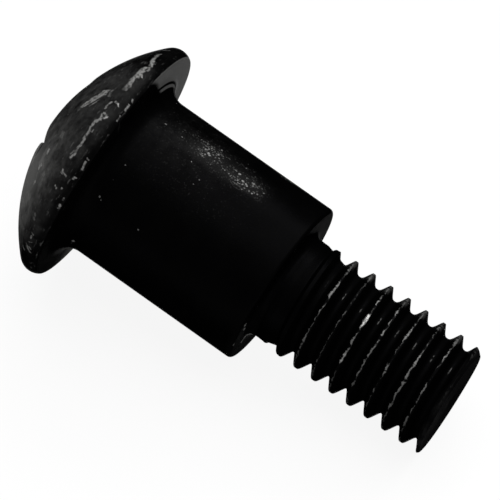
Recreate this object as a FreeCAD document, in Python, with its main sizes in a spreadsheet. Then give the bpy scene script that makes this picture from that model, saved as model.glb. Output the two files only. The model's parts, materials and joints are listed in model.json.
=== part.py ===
import FreeCAD, Part
import Sketcher
import math
import os

# Pan head shoulder screw with a coarse thread and a cross recess, turned and rolled from one piece of
# steel. Lengths are in millimetres and angles in degrees.
# The screw's own frame: Z runs along its axis, the bearing face under the head lies at Z = 0, the head
# is above it and the shank hangs below it. The finished screw is then laid down on its rim and thread.

# Every size that can be chosen by itself, with the unit that it is in.
SIZES = [
    ("head_diameter", 8.8),
    ("head_height", 2.44),
    ("rim_radius", 0.51),
    ("rim_height", 0.31),
    ("rim_edge_break", 0.05),
    ("under_head_fillet", 0.69),
    ("shoulder_diameter", 5.88),
    ("shoulder_length", 6.8),
    ("shoulder_bevel", 0.14),
    ("neck_undercut", 0.11),
    ("neck_length", 0.5),
    ("neck_bevel", 0.16),
    ("thread_rise_length", 0.8),
    ("thread_diameter", 4.0),
    ("thread_pitch", 0.7),
    ("thread_depth", 0.38),
    ("thread_root_flat", 0.175),
    ("thread_flank_angle", 60.0),
    ("thread_section_length", 6.72),
    ("thread_end_gap", 0.45),
    ("thread_runout_length", 1.0),
    ("end_chamfer", 0.1),
    ("recess_diameter", 4.4),
    ("recess_wing_width", 0.8),
    ("recess_floor_wing_width", 0.68),
    ("recess_floor_diameter", 2.29),
    ("recess_wing_slope", 26.5),
    ("recess_core_width", 1.5),
    ("recess_floor_core_width", 1.2),
    ("recess_cone_angle", 140.0),
    ("recess_turn", 61.0),
    ("rest_turn", 63.0),
]

# How far a cutting shape stands out of the metal, so that it leaves no skin behind. The groove's is
# small, because at its mouth one turn of the groove must not reach the next.
RECESS_OVERCUT = 0.25
GROOVE_OVERCUT = 0.04

# How near a ring must lie to the place where it is looked for.
RING_TOLERANCE = 0.0001

doc = FreeCAD.newDocument("pan_head_shoulder_screw")


def build_sheet():
    """Write the driving sizes, and those that follow from them, into a sheet with one alias each."""
    sheet = doc.addObject("Spreadsheet::Sheet", "Sizes")
    for row, (name, value) in enumerate(SIZES, start=1):
        sheet.set(f"A{row}", name)
        sheet.set(f"B{row}", str(value))
        sheet.setAlias(f"B{row}", name)
    rim_rise = "(head_height - rim_height)"
    rim_reach = "(head_diameter / 2 - rim_radius)"
    derived = [
        # The crown passes through its peak and touches the rim's arc from outside.
        ("crown_radius", f"=({rim_reach}^2 + {rim_rise}^2 - rim_radius^2) / (2 * ({rim_rise} - rim_radius))"),
        # The fillet under the head leaves a little of the bearing face, however narrow that is.
        ("bearing_edge", f"={rim_reach} + sqrt(rim_radius^2 - rim_height^2)"),
        ("fitting_fillet", "=min(under_head_fillet; bearing_edge - shoulder_diameter / 2 - 2 * rim_edge_break)"),
        ("neck_diameter", "=thread_diameter - 2 * neck_undercut"),
        ("thread_root_diameter", "=thread_diameter - 2 * thread_depth"),
        # The recess reaches its full diameter where its wings break through the crown.
        ("recess_rim_drop", "=crown_radius - sqrt(crown_radius^2 - (recess_diameter / 2)^2)"),
        ("recess_depth", "=recess_rim_drop + (recess_diameter - recess_floor_diameter) / 2"
                         " / tan(recess_wing_slope * 1deg)"),
        ("recess_cone_depth", "=recess_floor_core_width / 2 / tan(recess_cone_angle / 2 * 1deg)"),
        ("screw_end", "=shoulder_length + thread_section_length"),
    ]
    for row, (name, formula) in enumerate(derived, start=len(SIZES) + 2):
        sheet.set(f"A{row}", name)
        sheet.set(f"B{row}", formula)
        sheet.setAlias(f"B{row}", name)
    doc.recompute()
    return sheet


sizes = build_sheet()


def size(name):
    """Give one size of the sheet as a plain number."""
    value = sizes.get(name)
    return float(getattr(value, "Value", value))


def vector(x, y):
    """Give a point of a sketch."""
    return FreeCAD.Vector(x, y, 0)


def origin_feature(body, role):
    """Find one of a body's own planes or axes."""
    for feature in body.Origin.OriginFeatures:
        if feature.Role == role:
            return feature
    raise ValueError(f"no {role} in {body.Label}")


def attached_sketch(body, name, role):
    """Make an empty sketch on one of the body's origin planes."""
    sketch = body.newObject("Sketcher::SketchObject", name)
    sketch.AttachmentSupport = [(origin_feature(body, role), "")]
    sketch.MapMode = "FlatFace"
    return sketch


def drive(sketch, constraint, formula):
    """Add a constraint with a size and tie that size to the sheet."""
    index = sketch.addConstraint(constraint)
    sketch.setExpression(f"Constraints[{index}]", formula)


def join_chain(sketch, corners):
    """Join the end of each listed edge to the start of the next one."""
    for first, first_end, second, second_end in corners:
        sketch.addConstraint(Sketcher.Constraint("Coincident", first, first_end, second, second_end))


def ring_edge(feature, radius, height):
    """Find the circular edge of a turned shape with this radius at this height."""
    for number, edge in enumerate(feature.Shape.Edges, start=1):
        if edge.Degenerated or not isinstance(edge.Curve, Part.Circle):
            continue
        curve = edge.Curve
        if max(abs(curve.Radius - radius), abs(curve.Center.z - height)) < RING_TOLERANCE:
            return f"Edge{number}"
    raise ValueError(f"no ring of radius {radius:.3f} at height {height:.3f} on {feature.Label}")


def dress_ring(body, kind, name, radius, height, formula):
    """Round or bevel one ring edge of the body's present tip."""
    feature = body.newObject(f"PartDesign::{kind}", name)
    base = feature.BaseFeature
    feature.Base = (base, [ring_edge(base, radius, height)])
    feature.setExpression("Radius" if kind == "Fillet" else "Size", formula)
    doc.recompute()
    return feature


# The sketch's own numbers for its axes, its origin and the points of an edge.
H_AXIS, V_AXIS = range(-1, -3, -1)
START, END, CENTRE = range(1, 4)
ORIGIN_POINT = (H_AXIS, START)


def turned_blank(body):
    """Turn the blank: crown, rim, bearing face, shoulder, neck and the cylinder that takes the thread."""
    head_radius = size("head_diameter") / 2
    head_height = size("head_height")
    crown = size("crown_radius")
    rim = size("rim_radius")
    shoulder_radius = size("shoulder_diameter") / 2
    shoulder_end = -size("shoulder_length")
    neck_radius = size("neck_diameter") / 2
    neck_end = shoulder_end - size("neck_length")
    thread_radius = size("thread_diameter") / 2
    thread_start = neck_end - size("thread_rise_length")
    screw_end = -size("screw_end")

    # The rim's arc and the crown's meet on the line through both centres.
    crown_centre = vector(0, head_height - crown)
    rim_centre = vector(head_radius - rim, size("rim_height"))
    meeting_angle = math.atan2(rim_centre.y - crown_centre.y, rim_centre.x)
    rim_foot_angle = -math.asin(rim_centre.y / rim)
    rim_foot = size("bearing_edge")

    sketch = attached_sketch(body, "BlankOutline", "XZ_Plane")
    normal = FreeCAD.Vector(0, 0, 1)
    crown_arc = sketch.addGeometry(
        Part.ArcOfCircle(Part.Circle(crown_centre, normal, crown), meeting_angle, math.pi / 2), False)
    rim_arc = sketch.addGeometry(
        Part.ArcOfCircle(Part.Circle(rim_centre, normal, rim), rim_foot_angle, meeting_angle), False)
    corners = [
        vector(rim_foot, 0),
        vector(shoulder_radius, 0),
        vector(shoulder_radius, shoulder_end),
        vector(neck_radius, shoulder_end),
        vector(neck_radius, neck_end),
        vector(thread_radius, thread_start),
        vector(thread_radius, screw_end),
        vector(0, screw_end),
        vector(0, head_height),
    ]
    lines = [sketch.addGeometry(Part.LineSegment(p, q), False) for p, q in zip(corners, corners[1:])]
    bearing, shoulder, step, neck, rise, thread, end, axis = lines

    constrain = Sketcher.Constraint
    sketch.addConstraint(constrain("Tangent", crown_arc, START, rim_arc, END))
    join_chain(sketch, [(rim_arc, START, bearing, START)])
    join_chain(sketch, [(p, END, q, START) for p, q in zip(lines, lines[1:])])
    join_chain(sketch, [(axis, END, crown_arc, END)])
    sketch.addConstraint(constrain("PointOnObject", crown_arc, CENTRE, V_AXIS))
    sketch.addConstraint(constrain("PointOnObject", axis, START, V_AXIS))
    sketch.addConstraint(constrain("PointOnObject", axis, END, V_AXIS))
    sketch.addConstraint(constrain("PointOnObject", bearing, START, H_AXIS))
    sketch.addConstraint(constrain("PointOnObject", bearing, END, H_AXIS))
    for line in (shoulder, neck, thread):
        sketch.addConstraint(constrain("Vertical", line))
    for line in (step, end):
        sketch.addConstraint(constrain("Horizontal", line))

    drive(sketch, constrain("DistanceY", *ORIGIN_POINT, rim_arc, CENTRE, rim_centre.y), "Sizes.rim_height")
    drive(sketch, constrain("Radius", rim_arc, rim), "Sizes.rim_radius")
    drive(sketch, constrain("DistanceY", *ORIGIN_POINT, axis, END, head_height), "Sizes.head_height")
    drive(sketch, constrain("DistanceX", *ORIGIN_POINT, rim_arc, CENTRE, rim_centre.x),
          "Sizes.head_diameter / 2 - Sizes.rim_radius")
    for line, radius, formula in (
            (shoulder, shoulder_radius, "Sizes.shoulder_diameter / 2"),
            (neck, neck_radius, "Sizes.neck_diameter / 2"),
            (thread, thread_radius, "Sizes.thread_diameter / 2")):
        drive(sketch, constrain("DistanceX", *ORIGIN_POINT, line, END, radius), formula)
    for line, height, formula in (
            (shoulder, shoulder_end, "-Sizes.shoulder_length"),
            (neck, neck_end, "-Sizes.shoulder_length - Sizes.neck_length"),
            (rise, thread_start, "-Sizes.shoulder_length - Sizes.neck_length - Sizes.thread_rise_length"),
            (thread, screw_end, "-Sizes.screw_end")):
        drive(sketch, constrain("DistanceY", *ORIGIN_POINT, line, END, height), formula)

    blank = body.newObject("PartDesign::Revolution", "Blank")
    blank.Profile = sketch
    blank.ReferenceAxis = (sketch, ["V_Axis"])
    blank.Angle = 360
    doc.recompute()

    # The fillet under the head, and small bevels at the rim's foot, the shoulder's end, the neck and the tip.
    dress_ring(body, "Fillet", "UnderHeadFillet", shoulder_radius, 0, "Sizes.fitting_fillet")
    dress_ring(body, "Chamfer", "RimEdge", rim_foot, 0, "Sizes.rim_edge_break")
    dress_ring(body, "Chamfer", "ShoulderBevel", shoulder_radius, shoulder_end, "Sizes.shoulder_bevel")
    dress_ring(body, "Chamfer", "NeckBevel", neck_radius, shoulder_end, "Sizes.neck_bevel")
    dress_ring(body, "Chamfer", "EndChamfer", thread_radius, screw_end, "Sizes.end_chamfer")


def centred_rectangle(body, name, length, width, turn, height, formulas):
    """Draw a rectangle about the screw's axis, at a height and turned about the axis."""
    sketch = attached_sketch(body, name, "XY_Plane")
    turned = FreeCAD.Rotation(FreeCAD.Vector(0, 0, 1), turn)
    sketch.AttachmentOffset = FreeCAD.Placement(FreeCAD.Vector(0, 0, height), turned)
    sketch.setExpression("AttachmentOffset.Base.z", formulas["height"])
    sketch.setExpression("AttachmentOffset.Rotation.Angle", formulas["turn"])
    x, y = length / 2, width / 2
    corners = [vector(-x, -y), vector(x, -y), vector(x, y), vector(-x, y)]
    lines = [sketch.addGeometry(Part.LineSegment(p, q), False)
             for p, q in zip(corners, corners[1:] + corners[:1])]
    join_chain(sketch, [(p, END, q, START) for p, q in zip(lines, lines[1:] + lines[:1])])
    constrain = Sketcher.Constraint
    for line, direction in zip(lines, ("Horizontal", "Vertical", "Horizontal", "Vertical")):
        sketch.addConstraint(constrain(direction, line))
    sketch.addConstraint(constrain("Symmetric", lines[0], START, lines[2], START, *ORIGIN_POINT))
    drive(sketch, constrain("DistanceX", lines[0], START, lines[0], END, length), formulas["length"])
    drive(sketch, constrain("DistanceY", lines[1], START, lines[1], END, width), formulas["width"])
    return sketch


def tapered_pocket(body, name, top, bottom):
    """Cut the straight-sided pocket between two outlines of the recess."""
    cut = body.newObject("PartDesign::SubtractiveLoft", name)
    cut.Profile = top
    cut.Sections = [bottom]
    cut.Ruled = True
    doc.recompute()
    return cut


def cross_recess(body):
    """Punch the cross recess: two crossed wing pairs, the square core between them and a cone tip."""
    head_height = size("head_height")
    depth = size("recess_depth")
    rim_drop = size("recess_rim_drop")
    wing_slope = math.tan(math.radians(size("recess_wing_slope")))
    # The tapers go on past the crown by the overcut, at the slopes that they have inside the head.
    above = f"Sizes.head_height + {RECESS_OVERCUT}"
    floor = "Sizes.head_height - Sizes.recess_depth"
    reach = f"(Sizes.recess_rim_drop + {RECESS_OVERCUT})"
    flare = f"(Sizes.recess_depth + {RECESS_OVERCUT}) / (Sizes.recess_depth - Sizes.recess_rim_drop)"
    wing_turn = "Sizes.recess_turn"
    core_turn = "Sizes.recess_turn + 45"
    grow = (depth + RECESS_OVERCUT) / (depth - rim_drop)

    wing_floor = size("recess_floor_wing_width")
    wing_top_width = wing_floor + (size("recess_wing_width") - wing_floor) * grow
    wing_top_length = size("recess_diameter") + 2 * (rim_drop + RECESS_OVERCUT) * wing_slope
    wing_top = centred_rectangle(
        body, "WingTop", wing_top_length, wing_top_width, size("recess_turn"), head_height + RECESS_OVERCUT, {
            "length": f"Sizes.recess_diameter + 2 * {reach} * tan(Sizes.recess_wing_slope * 1deg)",
            "width": "Sizes.recess_floor_wing_width"
                     f" + (Sizes.recess_wing_width - Sizes.recess_floor_wing_width) * {flare}",
            "turn": wing_turn,
            "height": above})
    wing_floor_outline = centred_rectangle(
        body, "WingFloor", size("recess_floor_diameter"), wing_floor, size("recess_turn"),
        head_height - depth, {
            "length": "Sizes.recess_floor_diameter",
            "width": "Sizes.recess_floor_wing_width",
            "turn": wing_turn,
            "height": floor})
    wings = tapered_pocket(body, "WingPair", wing_top, wing_floor_outline)

    pattern = body.newObject("PartDesign::PolarPattern", "CrossedWings")
    pattern.Originals = [wings]
    pattern.Axis = (origin_feature(body, "Z_Axis"), [""])
    pattern.Angle = 90
    pattern.Occurrences = 2
    body.Tip = pattern
    doc.recompute()

    core_floor = size("recess_floor_core_width")
    core_top_width = core_floor + (size("recess_core_width") - core_floor) * grow
    core_growth = ("Sizes.recess_floor_core_width"
                   f" + (Sizes.recess_core_width - Sizes.recess_floor_core_width) * {flare}")
    core_top = centred_rectangle(
        body, "CoreTop", core_top_width, core_top_width, size("recess_turn") + 45,
        head_height + RECESS_OVERCUT, {
            "length": core_growth, "width": core_growth, "turn": core_turn, "height": above})
    core_floor_outline = centred_rectangle(
        body, "CoreFloor", core_floor, core_floor, size("recess_turn") + 45, head_height - depth, {
            "length": "Sizes.recess_floor_core_width",
            "width": "Sizes.recess_floor_core_width",
            "turn": core_turn,
            "height": floor})
    tapered_pocket(body, "Core", core_top, core_floor_outline)

    # The tip is a shallow cone below the core's floor.
    tip_radius = core_floor / 2
    tip_depth = size("recess_cone_depth")
    sketch = attached_sketch(body, "TipOutline", "XZ_Plane")
    corners = [vector(0, head_height - depth), vector(tip_radius, head_height - depth),
               vector(0, head_height - depth - tip_depth)]
    lines = [sketch.addGeometry(Part.LineSegment(p, q), False)
             for p, q in zip(corners, corners[1:] + corners[:1])]
    join_chain(sketch, [(p, END, q, START) for p, q in zip(lines, lines[1:] + lines[:1])])
    constrain = Sketcher.Constraint
    sketch.addConstraint(constrain("Horizontal", lines[0]))
    sketch.addConstraint(constrain("PointOnObject", lines[0], START, V_AXIS))
    sketch.addConstraint(constrain("PointOnObject", lines[2], START, V_AXIS))
    drive(sketch, constrain("DistanceX", lines[0], START, lines[0], END, tip_radius),
          "Sizes.recess_floor_core_width / 2")
    drive(sketch, constrain("DistanceY", lines[2], START, lines[2], END, tip_depth),
          "Sizes.recess_cone_depth")
    drive(sketch, constrain("DistanceY", *ORIGIN_POINT, lines[0], START, head_height - depth), floor)
    tip = body.newObject("PartDesign::Groove", "Tip")
    tip.Profile = sketch
    tip.ReferenceAxis = (sketch, ["V_Axis"])
    tip.Angle = 360
    doc.recompute()


def groove_section(body):
    """Draw the thread groove's section below the screw's end: two flanks and a flat root."""
    half_flank = math.radians(size("thread_flank_angle") / 2)
    root = size("thread_root_diameter") / 2
    outside = size("thread_diameter") / 2 + GROOVE_OVERCUT
    height = -size("screw_end") - size("thread_end_gap") - size("thread_pitch")
    half_root = size("thread_root_flat") / 2
    half_mouth = half_root + (outside - root) * math.tan(half_flank)
    corners = [
        vector(root, height + half_root),
        vector(root, height - half_root),
        vector(outside, height - half_mouth),
        vector(outside, height + half_mouth),
    ]
    sketch = attached_sketch(body, "GrooveSection", "XZ_Plane")
    lines = [sketch.addGeometry(Part.LineSegment(p, q), False)
             for p, q in zip(corners, corners[1:] + corners[:1])]
    flat, lower_flank, opening, upper_flank = lines

    constrain = Sketcher.Constraint
    join_chain(sketch, [(p, END, q, START) for p, q in zip(lines, lines[1:] + lines[:1])])
    for line in (flat, opening):
        sketch.addConstraint(constrain("Vertical", line))
    sketch.addConstraint(constrain("Equal", lower_flank, upper_flank))
    drive(sketch, constrain("DistanceX", *ORIGIN_POINT, flat, START, root),
          "Sizes.thread_root_diameter / 2")
    drive(sketch, constrain("DistanceX", *ORIGIN_POINT, opening, START, outside),
          f"Sizes.thread_diameter / 2 + {GROOVE_OVERCUT}")
    drive(sketch, constrain("DistanceY", *ORIGIN_POINT, flat, START, height + half_root),
          "-Sizes.screw_end - Sizes.thread_end_gap - Sizes.thread_pitch + Sizes.thread_root_flat / 2")
    drive(sketch, constrain("DistanceY", flat, END, flat, START, 2 * half_root), "Sizes.thread_root_flat")
    drive(sketch, constrain("Angle", lower_flank, START, upper_flank, END, 2 * half_flank),
          "Sizes.thread_flank_angle")
    return sketch


def rolled_thread(body):
    """Cut the right-hand groove up from below the end, and let it run out at the neck."""
    section = groove_section(body)
    groove = body.newObject("PartDesign::SubtractiveHelix", "ThreadGroove")
    groove.Profile = section
    groove.ReferenceAxis = (section, ["V_Axis"])
    groove.Mode = "pitch-height-angle"
    groove.setExpression("Pitch", "Sizes.thread_pitch")
    groove.setExpression("Height", "Sizes.thread_section_length - Sizes.neck_length"
                                   " + Sizes.thread_end_gap + Sizes.thread_pitch")
    doc.recompute()

    # A cone inside the crests fills the groove little by little, from its full depth up to the neck.
    core = size("thread_root_diameter") / 4
    root = size("thread_root_diameter") / 2
    neck = size("neck_diameter") / 2
    neck_end = -size("shoulder_length") - size("neck_length")
    fill_top = neck_end + size("neck_length") / 2
    full_depth = neck_end - size("thread_runout_length")
    corners = [
        vector(core, fill_top),
        vector(core, full_depth),
        vector(root, full_depth),
        vector(neck, neck_end),
        vector(neck, fill_top),
    ]
    sketch = attached_sketch(body, "RunoutOutline", "XZ_Plane")
    lines = [sketch.addGeometry(Part.LineSegment(p, q), False)
             for p, q in zip(corners, corners[1:] + corners[:1])]
    inner, bottom, slope, outer, top = lines
    join_chain(sketch, [(p, END, q, START) for p, q in zip(lines, lines[1:] + lines[:1])])
    constrain = Sketcher.Constraint
    for line in (inner, outer):
        sketch.addConstraint(constrain("Vertical", line))
    for line in (bottom, top):
        sketch.addConstraint(constrain("Horizontal", line))
    drive(sketch, constrain("DistanceX", *ORIGIN_POINT, inner, START, core),
          "Sizes.thread_root_diameter / 4")
    drive(sketch, constrain("DistanceX", *ORIGIN_POINT, slope, START, root),
          "Sizes.thread_root_diameter / 2")
    drive(sketch, constrain("DistanceX", *ORIGIN_POINT, outer, START, neck), "Sizes.neck_diameter / 2")
    drive(sketch, constrain("DistanceY", *ORIGIN_POINT, inner, START, fill_top),
          "-Sizes.shoulder_length - Sizes.neck_length / 2")
    drive(sketch, constrain("DistanceY", *ORIGIN_POINT, slope, START, full_depth),
          "-Sizes.shoulder_length - Sizes.neck_length - Sizes.thread_runout_length")
    drive(sketch, constrain("DistanceY", *ORIGIN_POINT, outer, START, neck_end),
          "-Sizes.shoulder_length - Sizes.neck_length")
    fill = body.newObject("PartDesign::Revolution", "ThreadRunout")
    fill.Profile = sketch
    fill.ReferenceAxis = (sketch, ["V_Axis"])
    fill.Angle = 360
    doc.recompute()


def last_crest_contact():
    """Find how far from the head the last thread crest would touch a floor, on the side that faces it."""
    pitch = size("thread_pitch")
    flank_run = size("thread_depth") * math.tan(math.radians(size("thread_flank_angle") / 2))
    half_mouth = size("thread_root_flat") / 2 + flank_run
    crest_flat = pitch - 2 * half_mouth
    end = size("screw_end") - size("end_chamfer")
    # The groove's centre passes the floor side here, once in each pitch.
    groove_pass = size("screw_end") + size("thread_end_gap") + pitch * (1 + size("rest_turn") / 360)
    crest_start = groove_pass + half_mouth
    last_start = crest_start - pitch * math.ceil((crest_start - end) / pitch)
    return min(last_start + crest_flat, end)


def lay_down(body):
    """Lay the screw on a level floor, on its rim and on what meets the floor first behind it."""
    rim = size("rim_radius")
    reach = size("head_diameter") / 2 - rim
    rim_height = size("rim_height")
    # Each contact: its distance from the axis and its distance from the bearing face.
    contacts = [
        (size("thread_diameter") / 2, last_crest_contact()),
        (size("shoulder_diameter") / 2, size("shoulder_length") - size("shoulder_bevel")),
    ]
    dips = []
    for radius, distance in contacts:
        fall = reach - radius
        run = distance + rim_height
        dips.append(math.atan2(fall, run) + math.asin(rim / math.hypot(run, fall)))
    dip = min(dips)
    height = reach * math.cos(dip) + rim - rim_height * math.sin(dip)

    # Axis level along X with the thread end at +X, turned about itself, then dipped at the thread end.
    turn = FreeCAD.Rotation(FreeCAD.Vector(0, 0, 1), size("rest_turn"))
    level = FreeCAD.Rotation(FreeCAD.Vector(0, 0, -1), FreeCAD.Vector(0, -1, 0), FreeCAD.Vector(-1, 0, 0))
    dipped = FreeCAD.Rotation(FreeCAD.Vector(0, 1, 0), math.degrees(dip))
    body.Placement = FreeCAD.Placement(FreeCAD.Vector(0, 0, height), dipped * level * turn)
    doc.recompute()
    box = body.Shape.optimalBoundingBox(False, False)
    middle = (box.XMin + box.XMax) / 2
    body.Placement.Base = FreeCAD.Vector(-middle, 0, height)
    doc.recompute()


def check_document(shapes):
    """Stop if any object failed to compute or a finished shape isn't one valid solid."""
    for item in doc.Objects:
        if "Invalid" in item.State or "Error" in item.State:
            raise RuntimeError(f"{item.Name} failed: {item.State}")
    for item in shapes:
        shape = item.Shape
        if shape.isNull() or not shape.isValid() or len(shape.Solids) != 1:
            raise RuntimeError(f"{item.Label} isn't one valid solid")


screw = doc.addObject("PartDesign::Body", "Screw")
screw.Label = "screw"
turned_blank(screw)
cross_recess(screw)
rolled_thread(screw)
lay_down(screw)
check_document([screw])

os.makedirs("parts", exist_ok=True)
screw.Shape.exportStep(f"parts/{screw.Label}.step")
print(f"{screw.Label}: volume {screw.Shape.Volume:.2f} mm3, box {screw.Shape.BoundBox}")
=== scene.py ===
"""Pan head shoulder screw: the finished look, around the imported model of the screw.

The screw's own frame has its origin at the middle of the bearing face under the head. Along runs from
there towards the thread end, and an azimuth of 0 degrees is the side that the rest turn gives. Lengths are
in metres, and in the material in millimetres. The main sizes below hold the same values as the solid.
"""

import json
import math

import bpy
import numpy as np
from bpy.props import FloatProperty, FloatVectorProperty, IntProperty, PointerProperty
from mathutils import Matrix, Vector


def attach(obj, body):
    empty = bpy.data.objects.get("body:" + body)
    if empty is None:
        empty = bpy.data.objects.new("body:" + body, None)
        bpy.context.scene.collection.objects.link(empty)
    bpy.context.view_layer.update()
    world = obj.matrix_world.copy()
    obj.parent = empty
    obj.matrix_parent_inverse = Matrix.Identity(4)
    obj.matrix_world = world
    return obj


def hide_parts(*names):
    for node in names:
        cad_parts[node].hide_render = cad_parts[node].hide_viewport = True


bl_info = {
    "name": "Shoulder screw",
    "version": (1, 0, 0),
    "blender": (4, 5, 0),
    "location": "View3D > Sidebar > Shoulder screw",
    "description": "Makes a worn black pan head shoulder screw, lying on a pale floor",
    "category": "Add Mesh",
}

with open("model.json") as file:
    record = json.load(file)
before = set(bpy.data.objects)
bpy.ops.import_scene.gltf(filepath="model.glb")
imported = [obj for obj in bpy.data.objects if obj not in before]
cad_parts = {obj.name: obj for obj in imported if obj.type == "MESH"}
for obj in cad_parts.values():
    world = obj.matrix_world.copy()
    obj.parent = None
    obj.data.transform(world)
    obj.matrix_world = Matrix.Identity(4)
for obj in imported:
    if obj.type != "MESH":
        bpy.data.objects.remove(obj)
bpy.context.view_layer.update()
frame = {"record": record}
MOUNTS = {mount["name"]: mount for mount in frame["record"]["mounts"]}
MM = 0.001
FULL_TURN = 2 * math.pi


def length(name, description, millimetres):
    """Make a length property from a size in millimetres."""
    return FloatProperty(name=name, description=description, default=millimetres * MM, precision=6,
                         subtype="DISTANCE", unit="LENGTH")


def angle(name, description, degrees):
    """Make an angle property from a size in degrees."""
    return FloatProperty(name=name, description=description, default=math.radians(degrees),
                         subtype="ANGLE", unit="ROTATION")


def portion(name, description, value):
    """Make a property for a part of a whole, from 0 to 1."""
    return FloatProperty(name=name, description=description, default=value, min=0, max=1, precision=4,
                         subtype="FACTOR")


def colour(name, description, value):
    """Make a colour property from linear red, green and blue."""
    return FloatVectorProperty(name=name, description=description, default=value, size=3, min=0, max=1,
                               subtype="COLOR")


class HeadSizes(bpy.types.PropertyGroup):
    """Sizes of the head and its recess."""
    diameter: length("Diameter", "Across the rim of the head", 8.8)
    height: length("Height", "From the bearing face to the crown's peak", 2.44)
    rim_radius: length("Rim radius", "Of the arc between the crown and the bearing face", 0.51)
    rim_height: length("Rim height", "Of the rim's widest place above the bearing face", 0.31)
    rim_break: length("Rim break", "Rounding where the rim meets the bearing face", 0.06)
    fillet: length("Fillet", "Between the bearing face and the shoulder", 0.69)
    recess_diameter: length("Recess diameter", "Across two wings of the cross recess at the crown", 4.4)
    recess_floor_diameter: length("Recess floor", "Across two wings at the recess floor", 2.29)
    wing_width: length("Wing width", "Of a wing at the crown", 0.8)
    wing_floor_width: length("Wing floor width", "Of a wing at the recess floor", 0.68)
    wing_slope: angle("Wing slope", "Of a wing's end wall, from the axis", 26.5)
    core_width: length("Core width", "Of the square core at the crown", 1.5)
    core_floor_width: length("Core floor width", "Of the square core at the recess floor", 1.2)
    tip_angle: angle("Tip angle", "Of the cone below the recess floor", 140)
    recess_turn: angle("Recess turn", "Azimuth of one wing", 61)
    lip: length("Recess lip", "Rounding where the recess breaks through the crown", 0.11)


class ShankSizes(bpy.types.PropertyGroup):
    """Sizes of the shoulder, the neck and the thread."""
    shoulder_diameter: length("Shoulder diameter", "Across the plain shoulder", 5.88)
    shoulder_length: length("Shoulder length", "From the bearing face to the shoulder's end", 6.8)
    shoulder_round: length("Shoulder rounding", "At the shoulder's end", 0.13)
    neck_diameter: length("Neck diameter", "Across the neck between shoulder and thread", 3.78)
    neck_length: length("Neck length", "From the shoulder's end to the first thread", 0.5)
    neck_fillet: length("Neck fillet", "Between the shoulder's end and the neck", 0.26)
    thread_diameter: length("Thread diameter", "Across the crests", 4.0)
    thread_pitch: length("Thread pitch", "From one crest to the next", 0.7)
    thread_depth: length("Thread depth", "From crest to root", 0.38)
    root_flat: length("Root flat", "Width of the root before it is rounded", 0.16)
    crest_round: length("Crest rounding", "Reach of the rounding of the crests", 0.03)
    root_round: length("Root rounding", "Reach of the rounding of the root", 0.12)
    thread_end: length("Thread end", "From the bearing face to the end face", 13.52)
    end_gap: length("Groove phase", "From the end face to the groove at azimuth 0", 0.463)
    rise: length("Crest rise", "Over which the crests grow from the neck", 0.8)
    runout: length("Run-out", "Over which the groove grows from the neck", 1.0)
    end_chamfer: length("End chamfer", "Of the crest at the end face", 0.1)
    end_blunt: length("End blunting", "More of the chamfer, opposite azimuth 0", 0.1)
    last_crest: length("Last crest", "How much wider it is opposite azimuth 0", 0.12)
    burr: length("Burr", "Height of the burr on the last crest at azimuth 0", 0.07)
    crest_wear: length("Crest wear", "Depth of the dents along the crests", 0.012)
    thread_offset: length("Thread offset", "Of the thread's axis from the shoulder's", 0.032)
    thread_skew: length("Thread skew", "How much deeper the groove is at azimuth 0", 0.025)
    end_slant: angle("End slant", "Of the end face, sheared a little askew", 2.5)
    rest_turn: angle("Rest turn", "Azimuth that faces the floor", -63)


class Finish(bpy.types.PropertyGroup):
    """Colours and gloss of the screw."""
    black: colour("Black oxide", "Dark oxide on the steel", (0.0019, 0.0019, 0.002))
    edge_tint: colour("Edge tint", "How much light the oxide returns at a grazing angle",
                      (0.021, 0.021, 0.021))
    # The steel colour also paints sheen, glints and a reflection under the head.
    bare_and_sheen: colour("Bare steel", "Where the oxide is rubbed through", (0.42, 0.42, 0.41))
    roughness: portion("Roughness", "Of the oxide", 0.4)


class WearAndSheen(bpy.types.PropertyGroup):
    """How much of the steel shows through, by place: real worn places, and painted sheen, glints and
    reflection.
    """
    head: portion("Head", "All over the head", 0.006)
    crown: portion("Crown", "More of it on the crown", 0.008)
    # Painted sheen on the crown's side towards the camera.
    lit_crown: portion("Crown's near side", "More of it on the side that the camera sees", 0.007)
    # Painted reflection on the crown's left side.
    left_crown: portion("Crown's left side", "More of it at the left in the picture", 0.25)
    rim: portion("Rim", "More of it along the rim", 0.03)
    dashes: portion("Dashes", "In the short dashes around the head", 0.12)
    scuffs: portion("Scuffs", "In the scuffs on the head", 0.6)
    specks: portion("Specks", "In the specks on the shoulder", 0.3)
    # Painted glints on the shoulder's end face.
    end_glints: portion("Scratches", "On the shoulder's end face", 0.45)
    # Painted reflection under the head, on the side away from the floor.
    painted_reflection: portion("Polish", "Under the head, where the turned face kept its polish", 0.15)
    crests: portion("Crests", "All around the thread's crests", 0.07)
    # Painted highlight on the crests' side towards the camera.
    lit_crests: portion("Near crests", "More of it on the side that the camera sees", 0.3)
    struck: portion("Struck crest", "More of it where the crest was struck flat", 0.6)
    # Painted highlight on the crest tips.
    tips: portion("Tips", "Of the crests on the upper outline", 0.05)
    # Painted glints in the roots.
    roots: portion("Roots", "In short glints at the thread's roots", 0.16)
    # Painted sheen on the thread's end face.
    end: portion("End face", "On the thread's end face", 0.012)


class View(bpy.types.PropertyGroup):
    """Where the camera stands and what lies under the screw."""
    tilt: angle("Tilt", "Of the thread end towards the camera", 7.5)
    roll: angle("Roll", "Of the screw's axis below level in the picture", 35.16)
    distance: length("Distance", "From the camera to the bearing face", 196.72)
    left: length("Left", "Of the bearing face from the picture's middle", 4.463)
    above: length("Above", "Of the bearing face from the picture's middle", 2.745)
    lens: FloatProperty(name="Focal length", description="Of the camera, on a 36 mm wide film",
                        default=432, unit="CAMERA")
    floor: colour("Floor", "Colour of the floor", (0.93, 0.93, 0.93))
    even_white: portion("Even white", "Share of the floor's look that stays white", 0.9)


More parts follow.
